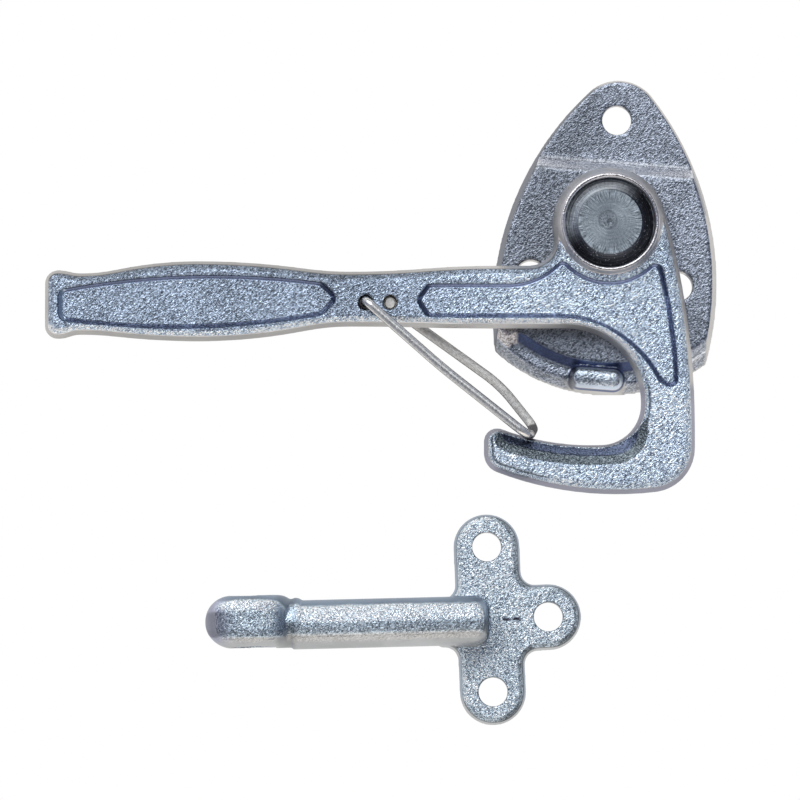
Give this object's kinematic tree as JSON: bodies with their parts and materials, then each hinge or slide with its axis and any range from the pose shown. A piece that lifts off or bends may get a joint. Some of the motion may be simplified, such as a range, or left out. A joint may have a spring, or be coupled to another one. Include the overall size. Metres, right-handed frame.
{
  "type": "lever hook latch",
  "caption": "Forged lever hook latch on a pivot plate, with a wire spring gate across the hook and a bolted eye keeper that the hook takes hold of.",
  "frame": {"origin": "on the lever's pivot axis, in the mounting plane at the back of the base plate", "axes": "X runs from the grip to the hook's heel, Y from the hook up to the base plate's single bolt hole, Z leaves the mounting plane towards the user"},
  "size_m": [0.3018, 0.2908, 0.0362],
  "materials": {
    "base_plate": "zinc plated forging",
    "lever": "zinc plated forging, grained",
    "gate_wire": "bright drawn wire",
    "pivot_rivet": "turned and riveted over",
    "keeper": "zinc plated forging, grained"
  },
  "bodies": {
    "base": {"base_plate": "base_plate", "pivot_rivet": "pivot_rivet", "keeper": "keeper"},
    "lever": {"lever": "lever"},
    "gate": {"gate_wire": "gate_wire"}
  },
  "joints": [
    {"name": "lever_pivot", "type": "hinge", "parent": "base", "child": "lever", "pos_m": [0, 0, 0.019], "axis": [0, 0, 1], "range_deg": [-5, 31]},
    {"name": "gate_swing", "type": "hinge", "parent": "lever", "child": "gate", "pos_m": [-0.10365, -0.0355, 0.019], "axis": [0, 0, 1], "range_deg": [0, 8], "stiffness_Nm_per_rad": 1, "springref_deg": -5.73}
  ]
}
